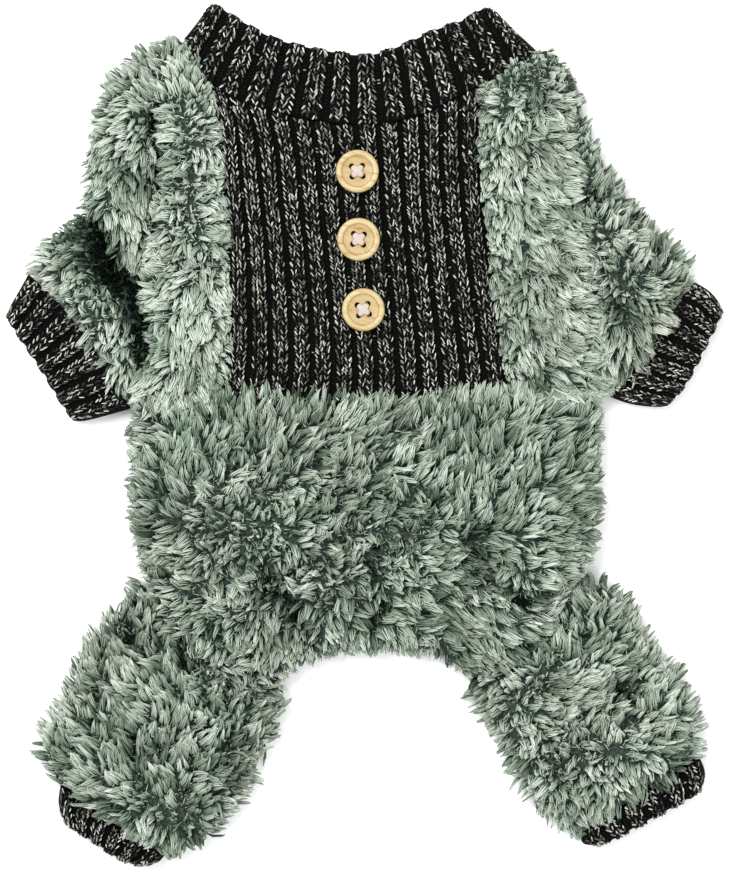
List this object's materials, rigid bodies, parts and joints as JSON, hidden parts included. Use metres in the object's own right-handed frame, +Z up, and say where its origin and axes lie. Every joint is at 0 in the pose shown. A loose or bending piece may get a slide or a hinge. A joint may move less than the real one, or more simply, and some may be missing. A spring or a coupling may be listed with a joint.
{
  "type": "dog pajamas",
  "caption": "Dog pajamas lying flat: long-pile body, sleeves and legs, with rib-knit collar, bib and cuffs and round buttons down the bib.",
  "frame": {"origin": "centre of the bounding box, on the surface the garment lies on", "axes": "+Z up from the surface, +Y from the hem towards the collar, +X to the right of the front as seen from above"},
  "size_m": [0.3026, 0.3615, 0.02],
  "materials": {
    "fur": "long-pile sage fleece",
    "rib_knit": "marled charcoal rib knit",
    "wood": "pale satin wood"
  },
  "bodies": {
    "root": {"back": "fur", "belly": "fur", "chest_left": "fur", "chest_right": "fur", "sleeve_left": "fur", "sleeve_right": "fur", "leg_left": "fur", "leg_right": "fur", "collar": "rib_knit", "bib": "rib_knit", "cuff_front_left": "rib_knit", "cuff_front_right": "rib_knit", "cuff_hind_left": "rib_knit", "cuff_hind_right": "rib_knit", "button_top": "wood", "button_middle": "wood", "button_bottom": "wood"}
  },
  "joints": []
}
